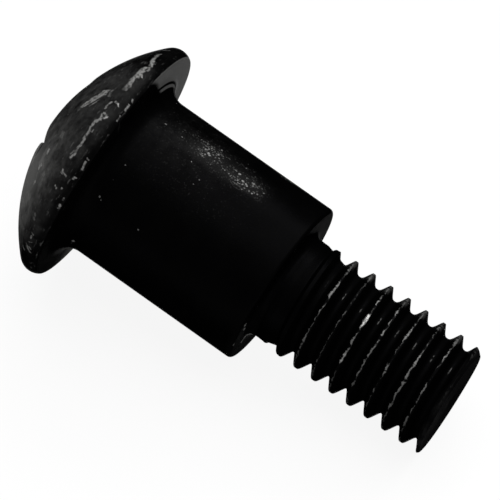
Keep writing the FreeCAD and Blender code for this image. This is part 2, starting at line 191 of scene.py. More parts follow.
class Lamps(bpy.types.PropertyGroup):
    """How bright the lamps and the surroundings are."""
    overhead: FloatProperty(name="Overhead", description="Brightness of its face", default=2.0, min=0)
    back: FloatProperty(name="Back", description="Brightness of its face", default=5.0, min=0)
    surround: portion("Surroundings", "Brightness of the even light from all around", 0.35)


class ScrewSettings(bpy.types.PropertyGroup):
    """Everything that can be set on this screw."""
    head: PointerProperty(type=HeadSizes)
    shank: PointerProperty(type=ShankSizes)
    finish: PointerProperty(type=Finish)
    wear_and_sheen: PointerProperty(type=WearAndSheen)
    view: PointerProperty(type=View)
    lamps: PointerProperty(type=Lamps)
    columns: IntProperty(name="Columns", description="Mesh columns around the screw, a multiple of 4",
                         default=216, min=48, max=400)

    def crown_radius(self):
        """Give the crown's radius, from the head's diameter, height and rim.

        The crown passes through its peak and touches the rim's arc from outside. With the rim arc's centre
        at this reach and this far below the peak, its radius is (reach squared + rise squared - rim radius
        squared) / (2 (rise - rim radius)).
        """
        head = self.head
        rise = head.height - head.rim_height
        reach = head.diameter / 2 - head.rim_radius
        return (reach ** 2 + rise ** 2 - head.rim_radius ** 2) / (2 * (rise - head.rim_radius))


def local_axes(rest_turn):
    """Give the screw's axes in the world: towards azimuth 0, towards azimuth 90 degrees, and along.

    Down is square to the axis in its upright plane. Azimuth 0 is down turned back by the rest turn.
    """
    along = Vector(MOUNTS["thread"]["axis"]).normalized()
    side = Vector((0, -1, 0))
    down = along.cross(side).normalized()
    if down.z > 0:
        down.negate()
    turn = -rest_turn
    first = down * math.cos(turn) + side * math.sin(turn)
    second = first.cross(along).normalized()
    return first, second, along


def screw_matrix(settings):
    """Give the matrix that takes the screw's own frame to the world."""
    first, second, along = local_axes(settings.shank.rest_turn)
    peak = Vector(MOUNTS["drive_recess"]["pos_m"])
    origin = peak + along * settings.head.height
    matrix = Matrix((first, second, along)).transposed().to_4x4()
    matrix.translation = origin
    return matrix


class Rings:
    """Rings of points about the axis, from the recess tip to the end face, as arrays of x, y and along."""

    def __init__(self, azimuths):
        self.azimuths = azimuths
        self.rows = []
        self.climb = self.climb_from = self.climb_to = 0

    def plan(self, x, y, along):
        """Add rings from arrays of places, one row of each array for each ring."""
        x, y, along = np.broadcast_arrays(x, y, along)
        self.rows.append(np.stack([x, y, along], axis=-1).reshape(-1, len(self.azimuths), 3))

    def round(self, radius, along):
        """Add round rings: x and y are the radius times the azimuth's cosine and sine."""
        radius = np.atleast_1d(radius)[..., None] if np.ndim(radius) < 2 else radius
        along = np.atleast_1d(along)[..., None] if np.ndim(along) < 2 else along
        self.plan(radius * np.cos(self.azimuths), radius * np.sin(self.azimuths), along)

    def points(self):
        """Give all rings as one array of shape (rings, columns, 3)."""
        return np.concatenate(self.rows)


def arc(centre_radius, centre_along, radius, start, end, count):
    """Give an arc's radii and places along the axis: centre plus radius times cosine and sine."""
    angles = np.linspace(start, end, count)
    return centre_radius + radius * np.cos(angles), centre_along + radius * np.sin(angles)


def cross_outline(columns, half_length, half_width, half_core):
    """Give the plan of the cross recess: each column's place on eight wing edges and four core edges.

    A quarter runs from the middle of one wing's end to the next: half the end wall, a side wall, the cut
    corner where the square core shows, a side wall and half an end wall, all straight. The arguments are
    arrays over the depth, and the other quarters are this one turned by right angles.
    """
    quarter_columns = columns // 4
    side = round(quarter_columns / 3)
    end = round(quarter_columns * 0.13)
    counts = (end, side, quarter_columns - 2 * side - 2 * end, side, end)
    half_length, half_width, half_core = np.broadcast_arrays(half_length, half_width, half_core)
    core_corner = math.sqrt(2) * half_core - half_width
    zero = np.zeros_like(half_length)
    corners = np.stack([
        np.stack([half_length, zero], axis=-1),
        np.stack([half_length, half_width], axis=-1),
        np.stack([core_corner, half_width], axis=-1),
        np.stack([half_width, core_corner], axis=-1),
        np.stack([half_width, half_length], axis=-1),
        np.stack([zero, half_length], axis=-1),
    ])
    pieces = []
    for number, count in enumerate(counts):
        share = (np.arange(count) / count).reshape((count,) + (1,) * corners[0].ndim)
        pieces.append(corners[number] * (1 - share) + corners[number + 1] * share)
    quarter = np.concatenate(pieces)
    x, y = quarter[..., 0], quarter[..., 1]
    return np.concatenate([x, -y, -x, y]), np.concatenate([y, x, -y, -x])


def wave_noise(x, y, z, scale, seed):
    """Give a smooth wave pattern between about -1 and 1: the mean of sines in seeded directions."""
    draw = np.random.default_rng(seed)
    total = 0
    for _ in range(7):
        direction = draw.normal(size=3) / scale
        total = total + np.sin(x * direction[0] + y * direction[1] + z * direction[2] + draw.uniform(0, 6.3))
    return total / 3.5


def smooth_min(a, b, reach):
    """Give the smaller of two values, eased by a parabola where they lie within the reach."""
    ease = np.maximum(reach - np.abs(a - b), 0) / reach
    return np.minimum(a, b) - ease * ease * reach / 4


def smooth_max(a, b, reach):
    """Give the larger of two values, eased by a parabola where they lie within the reach."""
    return -smooth_min(-a, -b, reach)


class ScrewShape:
    """The screw's surface, worked out ring by ring from its sizes."""

    def __init__(self, settings):
        self.head = settings.head
        self.shank = settings.shank
        self.columns = settings.columns
        self.azimuths = self.head.recess_turn + FULL_TURN * np.arange(self.columns) / self.columns
        self.rings = Rings(self.azimuths)
        self.rim_reach = self.head.diameter / 2 - self.head.rim_radius
        self.crown_radius = settings.crown_radius()
        self.crown_centre = self.crown_radius - self.head.height

    def crown_along(self, radius_squared):
        """Give the crown's place along the axis: the sphere's centre less its half chord."""
        return self.crown_centre - np.sqrt(self.crown_radius ** 2 - radius_squared)

    def recess(self):
        """Add the recess: tip cone, floor, sloping walls and the rounded lip, up to the crown."""
        head = self.head
        columns = self.columns
        turn = head.recess_turn
        rim_drop = self.crown_radius - math.sqrt(self.crown_radius ** 2 - (head.recess_diameter / 2) ** 2)
        depth = rim_drop + (head.recess_diameter - head.recess_floor_diameter) / 2 / math.tan(head.wing_slope)
        floor = depth - head.height
        core_floor = head.core_floor_width / 2
        tip_depth = core_floor / math.tan(head.tip_angle / 2)

        def outline(place):
            """Give the tapered outline at these depths below the peak, turned to the wing's azimuth."""
            share = (depth - place) / (depth - rim_drop)
            half_length = head.recess_floor_diameter / 2 + (depth - place) * math.tan(head.wing_slope)
            half_width = head.wing_floor_width / 2 + (head.wing_width - head.wing_floor_width) / 2 * share
            half_core = core_floor + (head.core_width - head.core_floor_width) / 2 * share
            x, y = cross_outline(columns, half_length, half_width, half_core)
            if x.ndim > 1:
                # There is one depth for each column, and each column keeps only its own point.
                own = np.arange(columns)
                x, y = x[own, own], y[own, own]
            return x * math.cos(turn) - y * math.sin(turn), x * math.sin(turn) + y * math.cos(turn)

        shares = np.linspace(0.02, 1, 6)
        self.rings.round(core_floor * shares, floor + tip_depth * (1 - shares))
        x_floor, y_floor = outline(np.float64(depth))
        x_cone, y_cone = core_floor * np.cos(self.azimuths), core_floor * np.sin(self.azimuths)
        share = np.array([0.35, 0.7, 0.96, 1.0])[:, None]
        self.rings.plan(x_cone + (x_floor - x_cone) * share, y_cone + (y_floor - y_cone) * share, floor)

        # Each column's wall ends where its outline meets the crown, found by repeated substitution.
        top = np.full(columns, rim_drop)
        for _ in range(8):
            x, y = outline(top)
            top = head.height + self.crown_along(x * x + y * y)
        lip = head.lip
        for share in (0.04, 0.2, 0.4, 0.6, 0.8, 0.94, 1.0):
            place = depth + (top + lip - depth) * share
            x, y = outline(place)
            self.rings.plan(x, y, place - head.height)
        # The lip's rounding turns from the wall to the crown over a quarter circle, outwards in plan.
        x, y = outline(top)
        out_x = np.roll(y, -1) - np.roll(y, 1)
        out_y = np.roll(x, 1) - np.roll(x, -1)
        size = np.hypot(out_x, out_y)
        out_x, out_y = out_x / size, out_y / size
        for share in (0.3, 0.65, 1.0):
            bend = share * math.pi / 2
            step = lip * (1 - math.cos(bend))
            sink = lip * (1 - math.sin(bend))
            x_lip, y_lip = x + out_x * step, y + out_y * step
            self.rings.plan(x_lip, y_lip, self.crown_along(x_lip ** 2 + y_lip ** 2) + sink)
        self.lip_plan = (x + out_x * lip, y + out_y * lip)

    def crown(self):
        """Add the crown: plan places between the recess lip and the rim, lifted to the sphere."""
        meet = math.atan2(self.crown_centre + self.head.rim_height, self.rim_reach)
        edge = self.crown_radius * math.cos(meet)
        x_lip, y_lip = self.lip_plan
        x_rim, y_rim = edge * np.cos(self.azimuths), edge * np.sin(self.azimuths)
        steps = np.linspace(0, 1, 47)[1:, None]
        share = steps * (0.55 + 0.45 * steps)
        x, y = x_lip + (x_rim - x_lip) * share, y_lip + (y_rim - y_lip) * share
        self.rings.plan(x, y, self.crown_along(x * x + y * y))
        self.crown_meet = meet

    def rim(self):
        """Add the rim's arc, its rounded foot, the bearing face and the fillet under the head."""
        head = self.head
        curve = head.rim_break
        inset = math.sqrt((head.rim_radius - curve) ** 2 - (head.rim_height - curve) ** 2)
        turn_off = math.atan2(head.rim_height - curve, inset)
        radius, along = arc(self.rim_reach, -head.rim_height, head.rim_radius,
                            -self.crown_meet, turn_off, 24)
        self.rings.round(radius[1:], along[1:])
        radius, along = arc(self.rim_reach + inset, -curve, curve, turn_off, math.pi / 2, 5)
        self.rings.round(radius[1:], along[1:])
        inner = self.shank.shoulder_diameter / 2 + head.fillet
        self.rings.round(np.linspace(self.rim_reach + inset, inner, 6)[1:], 0)
        radius, along = arc(inner, head.fillet, head.fillet, -math.pi / 2, -math.pi, 15)
        self.rings.round(radius[1:], along[1:])

    def shoulder(self):
        """Add the shoulder's cylinder, its rounded end, the end face and the neck's fillet."""
        shank = self.shank
        outer = shank.shoulder_diameter / 2
        end = shank.shoulder_length
        curve = shank.shoulder_round
        neck = shank.neck_diameter / 2
        self.rings.round(outer, np.linspace(self.head.fillet, end - curve, 34)[1:])
        radius, along = arc(outer - curve, end - curve, curve, 0, math.pi / 2, 9)
        self.rings.round(radius[1:], along[1:])
        fillet = shank.neck_fillet
        self.rings.round(np.linspace(outer - curve, neck + fillet, 6)[1:], end)
        radius, along = arc(neck + fillet, end + fillet, fillet, -math.pi / 2, -math.pi, 8)
        self.rings.round(radius[1:-1], along[1:-1])
        self.neck_row = end + fillet

    def thread_radius(self, along, azimuths):
        """Give the shank's radius past the shoulder, at a place along the axis and an azimuth.

        The section is the 60 degree vee between a rounded crest and a rounded root, at the distance from the
        nearest crest. A cone fills its root near the neck, the crests grow from the neck, and the end
        face's edge is chamfered. The last crest is wider and blunter opposite azimuth 0.
        """
        shank = self.shank
        pitch = shank.thread_pitch
        outer = shank.thread_diameter / 2
        neck = shank.neck_diameter / 2
        neck_end = shank.shoulder_length + shank.neck_length
        crest_at = shank.thread_end + shank.end_gap + pitch / 2 - pitch * azimuths / FULL_TURN
        from_crest = np.abs((along - crest_at + pitch / 2) % pitch - pitch / 2)
        flank = math.tan(math.radians(30))
        fill_ease, rise_ease, chamfer_ease = 0.04 * MM, 0.02 * MM, 0.03 * MM
        depth = shank.thread_depth + shank.thread_skew * np.cos(azimuths)
        half_crest = pitch / 2 - shank.root_flat / 2 - shank.thread_depth * flank
        near_end = np.clip(1 - (shank.thread_end - along) / (0.5 * MM), 0, 1)
        opposite = np.clip(-np.cos(azimuths), 0, 1)
        half_crest = half_crest + shank.last_crest * near_end * opposite
        vee = (from_crest - half_crest) / flank
        vee = smooth_max(vee, 0, shank.crest_round)
        vee = smooth_min(vee, depth, shank.root_round)
        radius = outer - vee
        fill = neck + (along - neck_end) / shank.runout * (outer - shank.thread_depth - neck)
        fill = np.clip(fill, outer - depth - 0.05 * MM, neck)
        radius = smooth_max(radius, fill, fill_ease)
        grown = neck + (along - neck_end) / shank.rise * (outer - neck)
        grown = np.clip(grown, neck, outer + 0.02 * MM)
        radius = smooth_min(radius, grown, rise_ease)
        worn = wave_noise(radius * np.cos(azimuths), radius * np.sin(azimuths), along, 0.45 * MM, 11)
        near_crest = np.clip(1 - from_crest / (0.12 * MM), 0, 1) * np.clip((along - neck_end) / pitch, 0, 1)
        radius = radius - near_crest * shank.crest_wear * np.clip(worn + 0.3, 0, 1)
        # A small burr stands out of the last crest beside azimuth 0.
        burr = np.exp(-(np.angle(np.exp(1j * azimuths)) / 0.5) ** 2)
        radius = radius + shank.burr * burr * near_end * near_crest
        edge = self.end_along(radius, azimuths) - along
        blunt = shank.end_blunt * opposite
        chamfered = outer - shank.end_chamfer - blunt + edge + 0.03 * MM * burr
        return smooth_min(radius, chamfered, chamfer_ease + 1.2 * blunt)

    def end_along(self, radius, azimuths):
        """Give the end face's place along the axis: a plane that the slant tips towards azimuth 0."""
        return self.shank.thread_end + radius * np.cos(azimuths) * math.tan(self.shank.end_slant)

    def thread(self):
        """Add the thread's rings, which climb one pitch in each turn so that they follow the groove.

        A ring's place along the axis falls by one pitch over a full turn of azimuth. Where it would leave
        the stretch between the neck and the end face it is held at that stretch's end, so the first and
        the last ring are plain circles. Inside a pitch the rings lie closest at the crest and the root.
        """
        shank = self.shank
        pitch = shank.thread_pitch
        shares = np.array([0, 0.057, 0.097, 0.126, 0.154, 0.206, 0.314,
                           0.43, 0.543, 0.643, 0.737, 0.829, 0.914])
        half = shares * pitch / 2
        pattern = np.concatenate([half, [pitch / 2], pitch - half[:0:-1]])
        turned = self.azimuths - self.azimuths[0]
        phase = shank.thread_end + shank.end_gap + pitch / 2 - pitch * self.azimuths[0] / FULL_TURN
        start = self.neck_row
        ending = np.full(self.columns, shank.thread_end)
        for _ in range(6):
            ending = self.end_along(self.thread_radius(ending, self.azimuths), self.azimuths)
        first = math.floor((start - phase) / pitch)
        last = math.ceil((ending.max() + pitch - phase) / pitch)
        places = (phase + pitch * np.arange(first, last + 1)[:, None] + pattern).ravel()
        places = places[np.searchsorted(places, start) - 1:]
        places = places[:np.searchsorted(places, ending.max() + pitch) + 1]
        along = places[:, None] - pitch * turned / FULL_TURN
        along = np.minimum(np.maximum(along, start), ending)
        radius = self.thread_radius(along, self.azimuths)
        self.rings.climb = len(pattern)
        self.rings.climb_from = sum(len(row) for row in self.rings.rows)
        self.rings.round(radius, along)
        self.rings.climb_to = self.rings.climb_from + len(places) - 1
        self.end_ring = (radius[-1], ending)

    def end_face(self):
        """Add the end face: its rings shrink to the middle on the slanted plane, dished a little."""
        radius, _ = self.end_ring
        share = np.array([0.97, 0.9, 0.78, 0.6, 0.4, 0.2, 0.04])[:, None]
        dish = 0.035 * MM * (1 - share) * (1 - share)
        self.rings.round(radius * share, self.end_along(radius * share, self.azimuths) - dish)

    def mesh_arrays(self):
        """Give the screw's points in its own frame and its triangles, with both poles closed."""
        for stage in (self.recess, self.crown, self.rim, self.shoulder, self.thread, self.end_face):
            stage()
        rings = self.rings
        points = rings.points()
        # The neck and the thread were rolled a little off the shoulder's axis.
        past = np.clip((points[..., 2] - self.shank.shoulder_length) / self.shank.neck_fillet, 0, 1)
        points[..., 0] -= self.shank.thread_offset * past
        rows, columns, _ = points.shape
        index = np.arange(rows * columns).reshape(rows, columns)
        following = np.roll(index, -1, axis=1)
        # In the thread a ring goes on, after its last column, as the ring that lies one pitch higher.
        climbing = np.arange(rings.climb_from, rings.climb_to + 1)
        partner = np.maximum(climbing - rings.climb, rings.climb_from)
        lower_next = following.copy()
        lower_next[climbing, -1] = index[partner, 0]
        quads = np.stack([index[:-1], lower_next[:-1], lower_next[1:], index[1:]], axis=-1).reshape(-1, 4)
        tip, end = rows * columns, rows * columns + 1
        fans = [
            np.stack([np.full(columns, tip), following[0], index[0]], axis=-1),
            np.stack([np.full(columns, end), index[-1], following[-1]], axis=-1),
        ]
        triangles = np.concatenate([quads[:, [0, 1, 2]], quads[:, [0, 2, 3]], *fans])
        flat = np.concatenate([points.reshape(-1, 3), [points[0].mean(0)], [points[-1].mean(0)]])
        flat[tip, :2] = 0
        # Points that were held at the same place become one, and triangles without area go.
        _, keep, merged = np.unique(np.round(flat / 1e-9).astype(np.int64), axis=0,
                                    return_index=True, return_inverse=True)
        triangles = merged.ravel()[triangles]
        distinct = ((triangles[:, 0] != triangles[:, 1]) & (triangles[:, 1] != triangles[:, 2])
                    & (triangles[:, 2] != triangles[:, 0]))
        return flat[keep], triangles[distinct]


def signed_volume(points, triangles):
    """Give the volume inside the triangles: the sum of the tetrahedra that they make with the origin."""
    a, b, c = (points[triangles[:, corner]] for corner in range(3))
    return float(np.einsum("ij,ij->i", a, np.cross(b, c)).sum() / 6)


def mesh_object(name, points, triangles, material):
    """Put arrays of points and triangles into a new smooth-shaded object at the world's origin."""
    if signed_volume(points, triangles) < 0:
        triangles = triangles[:, ::-1]
    mesh = bpy.data.meshes.new(name)
    mesh.vertices.add(len(points))
    mesh.vertices.foreach_set("co", points.astype(np.float32).ravel())
    mesh.loops.add(triangles.size)
    mesh.loops.foreach_set("vertex_index", triangles.astype(np.int32).ravel())
    mesh.polygons.add(len(triangles))
    mesh.polygons.foreach_set("loop_start", np.arange(0, triangles.size, 3, dtype=np.int32))
    mesh.update(calc_edges=True)
    mesh.polygons.foreach_set("use_smooth", np.ones(len(triangles), dtype=bool))
    if mesh.validate():
        raise RuntimeError(f"{name} has faulty faces")
    mesh.materials.append(material)
    piece = bpy.data.objects.new(name, mesh)
    bpy.context.scene.collection.objects.link(piece)
    return piece


class Nodes:
    """Short calls to build a material's nodes."""

    def __init__(self, name):
        self.material = bpy.data.materials.new(name)
        self.material.use_nodes = True
        self.tree = self.material.node_tree
        self.tree.nodes.clear()

    def add(self, kind, settings=None, **inputs):
        """Add a node, set its settings and fill its inputs with values or sockets, by name."""
        node = self.tree.nodes.new(kind)
        for key, value in (settings or {}).items():
            setattr(node, key, value)
        for key, value in inputs.items():
            self.fill(node.inputs[key.replace("_", " ")], value)
        return node

    def fill(self, socket, value):
        """Link a socket into an input, or set the input's own value."""
        if isinstance(value, bpy.types.NodeSocket):
            self.tree.links.new(value, socket)
        else:
            socket.default_value = value

    def math(self, operation, *values, clamp=False):
        """Add a math node on values or sockets and give its result."""
        node = self.tree.nodes.new("ShaderNodeMath")
        node.operation = operation
        node.use_clamp = clamp
        for socket, value in zip(node.inputs, values):
            self.fill(socket, value)
        return node.outputs[0]

    def vector(self, operation, *values):
        """Add a vector math node and give its vector or number."""
        node = self.tree.nodes.new("ShaderNodeVectorMath")
        node.operation = operation
        for socket, value in zip(node.inputs, values):
            self.fill(socket, value)
        return node.outputs["Value" if operation in ("DOT_PRODUCT", "LENGTH", "DISTANCE") else "Vector"]

    def combine(self, x, y, z=0.0):
        """Give a vector from three values or sockets."""
        return self.add("ShaderNodeCombineXYZ", X=x, Y=y, Z=z).outputs[0]

    def fade(self, value, start, end):
        """Give 0 at the start and 1 at the end, with eased ends, whichever of the two is larger."""
        node = self.add("ShaderNodeMapRange", {"interpolation_type": "SMOOTHSTEP"}, Value=value)
        node.inputs["From Min"].default_value = min(start, end)
        node.inputs["From Max"].default_value = max(start, end)
        node.inputs["To Min"].default_value = 0 if start < end else 1
        node.inputs["To Max"].default_value = 1 if start < end else 0
        return node.outputs[0]

    def noise(self, vector, scale, detail=3.0, roughness=0.5):
        """Give smooth noise from 0 to 1 at a vector."""
        return self.add("ShaderNodeTexNoise", Vector=vector, Scale=scale, Detail=detail,
                        Roughness=roughness).outputs[0]

    def mix_colour(self, share, first, second):
        """Mix two colours by a share."""
        node = self.tree.nodes.new("ShaderNodeMix")
        node.data_type = "RGBA"
        self.fill(node.inputs["Factor"], share)
        self.fill(node.inputs["A"], first)
        self.fill(node.inputs["B"], second)
        return node.outputs["Result"]


# The rim's arc for a degree of turn, at the middle of the scuffs.
RIM_MM_PER_DEGREE = 0.075
# Scuffs on the rim and the crown, drawn as straight strokes: turn in degrees and place along the
# axis in millimetres at the start, the same two at the end, half width in millimetres, and strength.
HEAD_MARKS = (
    (-30.5, -0.56, -34.0, -0.54, 0.085, 0.4), (-34.0, -0.56, -38.0, -0.58, 0.072, 0.75),
    (-37.5, -0.58, -41.0, -0.56, 0.082, 0.95), (-40.5, -0.56, -44.5, -0.56, 0.085, 1.0),
    (-43.5, -0.56, -48.0, -0.54, 0.085, 1.0), (-43.0, -0.5, -40.5, -0.38, 0.03, 0.6),
    (-45.5, -0.42, -49.0, -0.42, 0.046, 0.45), (-49.5, -0.46, -54.0, -0.54, 0.062, 0.95),
    (-54.0, -0.54, -57.0, -0.58, 0.052, 0.8), (-53.0, -0.52, -52.0, -0.38, 0.026, 0.45),
    (-57.0, -0.58, -62.0, -0.58, 0.043, 0.5), (-62.0, -0.62, -62.5, -0.52, 0.039, 0.5),
    (-69.0, -0.64, -70.5, -0.46, 0.036, 0.35), (-17.0, -1.48, -20.5, -1.38, 0.072, 0.9),
    (-19.5, -1.42, -24.0, -1.26, 0.105, 1.0), (-23.5, -1.3, -27.0, -1.12, 0.125, 1.0),
    (-26.5, -1.16, -30.0, -1.08, 0.105, 0.95), (-18.5, -1.24, -23.0, -1.1, 0.026, 0.5),
    (-25.5, -0.86, -30.0, -0.92, 0.043, 0.3), (-18.5, -0.68, -21.0, -0.68, 0.033, 0.8),
    (-21.0, -0.68, -23.0, -0.64, 0.033, 0.9), (-23.5, -0.56, -23.0, -0.4, 0.033, 0.8),
    (-23.5, -0.42, -22.0, -0.36, 0.03, 0.85), (-13.0, -0.56, -16.0, -0.64, 0.039, 0.95),
    (-16.5, -0.64, -16.0, -0.46, 0.036, 0.8), (-14.0, -0.52, -16.0, -0.42, 0.043, 0.9),
    (8.0, -0.66, 4.5, -0.58, 0.046, 1.0), (4.5, -0.62, 0.5, -0.6, 0.039, 0.9),
    (1.0, -0.6, -3.0, -0.62, 0.043, 0.95), (-2.0, -0.64, -6.0, -0.64, 0.039, 0.9),
    (-5.5, -0.62, -8.5, -0.68, 0.039, 0.95), (-8.5, -0.68, -12.5, -0.68, 0.046, 1.0),
    (-11.0, -0.64, -14.0, -0.58, 0.043, 0.85), (-6.5, -0.54, -8.0, -0.54, 0.023, 0.6),
    (6.5, -0.72, 4.0, -0.68, 0.02, 0.5), (17.0, -1.54, 13.5, -1.58, 0.039, 0.9),
    (27.5, -1.52, 23.5, -1.52, 0.039, 0.9), (29.0, -1.48, 32.5, -1.36, 0.02, 0.35),
    (35.0, -1.36, 32.5, -1.36, 0.033, 0.6), (4.0, -1.42, 0.0, -1.48, 0.066, 0.16),
    (25.5, -1.2, 23.0, -1.2, 0.049, 0.2), (15.5, -0.6, 13.5, -0.64, 0.039, 0.9),
    (14.5, -0.58, 15.0, -0.4, 0.026, 0.7), (14.5, -0.16, 13.0, -0.14, 0.036, 0.9),
    (21.5, -0.58, 22.0, -0.46, 0.033, 0.9), (21.0, -0.32, 20.0, -0.32, 0.033, 0.8),
    (25.0, -0.1, 23.5, -0.1, 0.03, 0.5), (29.5, -0.08, 27.0, -0.1, 0.036, 0.75),
    (9.0, -0.1, 5.0, -0.14, 0.033, 0.9), (3.5, -0.18, 4.0, -0.08, 0.023, 0.5),
    (-16.5, -0.1, -19.5, -0.12, 0.026, 0.5), (-22.5, -0.1, -26.0, -0.12, 0.03, 0.65),
    (-27.5, -0.1, -29.0, -0.14, 0.03, 0.6), (42.5, -0.64, 39.5, -0.68, 0.049, 0.22),
    (52.0, -0.46, 50.0, -0.44, 0.036, 0.8), (48.5, -0.5, 49.0, -0.38, 0.03, 0.3),
    (55.0, -0.48, 53.5, -0.34, 0.03, 0.35), (57.5, -0.5, 61.0, -0.3, 0.049, 0.4),
    (57.5, -0.4, 58.5, -0.28, 0.03, 0.4), (62.5, -0.64, 63.0, -0.5, 0.039, 0.3),
)
# Specks rubbed bright on the shoulder, and a painted glint on the fillet under the head at 68 and 73 degrees:
# turn in degrees, then place along the axis and radius in millimetres.
SHOULDER_SPECKS = (
    (-45.5, 0.92, 0.035), (-48.8, 1.50, 0.035), (-44.2, 1.62, 0.04), (-42.6, 1.70, 0.035),
    (-47.6, 2.46, 0.06), (-46.3, 2.62, 0.07), (-45.2, 2.70, 0.05), (-54.5, 2.61, 0.04),
    (-52.5, 2.66, 0.03), (-56.2, 2.85, 0.045), (-50.4, 2.89, 0.04), (-47.6, 2.98, 0.045),
    (-46.2, 3.03, 0.045), (-32.2, 2.38, 0.04), (-38.9, 2.92, 0.03), (-42.2, 3.38, 0.045),
    (-41.8, 3.57, 0.035), (-40.8, 3.66, 0.04), (-46.9, 3.85, 0.055), (-43.2, 4.07, 0.045),
    (-42.6, 4.22, 0.055), (-41.8, 4.28, 0.04), (-46.9, 4.40, 0.05), (-45.6, 4.42, 0.035),
    (-55.8, 3.86, 0.035), (-44.5, 4.43, 0.035), (-39.1, 4.56, 0.045), (-41.0, 4.72, 0.04),
    (-45.0, 4.85, 0.035), (-60.9, 3.80, 0.03), (-37.1, 4.22, 0.035), (-39.1, 4.28, 0.04),
    # The specks at 68 and 73 degrees are a painted glint on the fillet under the head.
    (-17.4, 2.64, 0.02), (-20.1, 2.88, 0.02), (-24.9, 2.96, 0.02), (68.0, 0.50, 0.08),
    (73.0, 0.42, 0.07), (21.4, 0.62, 0.045), (22.6, 0.72, 0.04), (24.4, 2.27, 0.035),
    (25.6, 2.34, 0.03), (7.0, 0.70, 0.03), (-5.0, 0.75, 0.02),
)
# Painted glints on the shoulder's end face, as straight lines across the axis: start and end towards azimuths
# 0 and 90 degrees, and half width, in millimetres.
END_FACE_GLINTS = (
    (2.32, 0.10, 1.88, 0.28, 0.05), (1.80, 1.80, 1.68, 1.84, 0.05), (1.93, 1.46, 1.82, 1.50, 0.04),
    (2.52, 1.30, 2.42, 1.36, 0.02),
)


class SteelCoordinates:
    """Coordinates on the screw for its material, in millimetres and degrees, from Object coordinates.

    Turn is the angle around the axis from the side of azimuth 90 degrees, growing towards azimuth 0, reach
    the distance from the axis and along the place on the axis. Wound counts pitches along the axis from the
    thread's crest, whole on the crest, and crest is the distance to the nearest crest.
    """

    def __init__(self, nodes, settings):
        first, second, along = local_axes(settings.shank.rest_turn)
        origin = screw_matrix(settings).translation
        place = nodes.add("ShaderNodeTexCoord").outputs["Object"]
        self.place = nodes.vector("SUBTRACT", place, tuple(origin))
        self.x = nodes.vector("DOT_PRODUCT", self.place, tuple(first / MM))
        self.y = nodes.vector("DOT_PRODUCT", self.place, tuple(second / MM))
        self.along = nodes.vector("DOT_PRODUCT", self.place, tuple(along / MM))
        self.turn = nodes.math("MULTIPLY", nodes.math("ARCTAN2", self.x, self.y), 180 / math.pi)
        self.reach = nodes.vector("LENGTH", nodes.combine(self.x, self.y))
        shank = settings.shank
        self.pitch = shank.thread_pitch / MM
        crest_at = (shank.thread_end + shank.end_gap) / MM + self.pitch / 2
        climb = nodes.math("MULTIPLY_ADD", self.turn, -self.pitch / 360, 0.25 * self.pitch - crest_at)
        self.wound = nodes.math("DIVIDE", nodes.math("ADD", self.along, climb), self.pitch)
        self.crest = nodes.math("MULTIPLY", nodes.math("PINGPONG", self.wound, 0.5), self.pitch)


class WearNoise:
    """Noise patterns that break up the worn places and the painted sheen: seven from 0 to 1, and the ragged
    and rough ones around 0.
    """

    def __init__(self, nodes, at):
        self.fine = nodes.noise(at.place, 9000.0, 4.0, 0.6)
        self.cloud = nodes.noise(at.place, 900.0, 4.0, 0.6)
        self.clumps = nodes.noise(at.place, 5200.0, 3.0, 0.6)
        self.grit = nodes.noise(at.place, 15000.0, 3.0, 0.7)
        self.patches = nodes.noise(at.place, 2300.0, 3.0, 0.6)
        self.broken = nodes.noise(at.place, 1500.0, 3.0, 0.6)
        self.dashes = self.drawn_out(nodes, at, 0.22, 11.0, 3.0)
        strokes = self.drawn_out(nodes, at, 0.4, 17.0, 7.0)
        self.ragged = nodes.math("MULTIPLY_ADD", self.clumps, 0.16, -0.075)
        self.rough = nodes.math("ADD", nodes.math("MULTIPLY_ADD", strokes, 0.75, -0.375),
                                nodes.math("MULTIPLY_ADD", self.fine, 0.4, -0.2))

    def drawn_out(self, nodes, at, per_degree, per_millimetre, layer):
        """Give noise that is drawn out around the screw, from the turn and the place along the axis."""
        place = nodes.combine(nodes.math("MULTIPLY", at.turn, per_degree),
                              nodes.math("MULTIPLY", at.along, per_millimetre), layer)
        return nodes.noise(place, 1.0, 3.0, 0.6)


def joined(nodes, masks):
    """Join masks: one minus the product of what each leaves free."""
    free = 1.0
    for mask in masks:
        free = nodes.math("MULTIPLY", free, nodes.math("SUBTRACT", 1.0, mask))
    return nodes.math("SUBTRACT", 1.0, free)


def product(nodes, *masks):
    """Multiply masks."""
    result = masks[0]
    for mask in masks[1:]:
        result = nodes.math("MULTIPLY", result, mask)
    return result


def between(nodes, value, low, high, soft):
    """Give 1 between two bounds, fading to 0 over the soft reach outside them."""
    return nodes.math("MULTIPLY", nodes.fade(value, low - soft, low), nodes.fade(value, high + soft, high))


def near(nodes, value, middle, reach, core=0.0):
    """Give 1 within the core of a middle value, fading to 0 at the reach."""
    return nodes.fade(nodes.math("ABSOLUTE", nodes.math("SUBTRACT", value, middle)), reach, core)


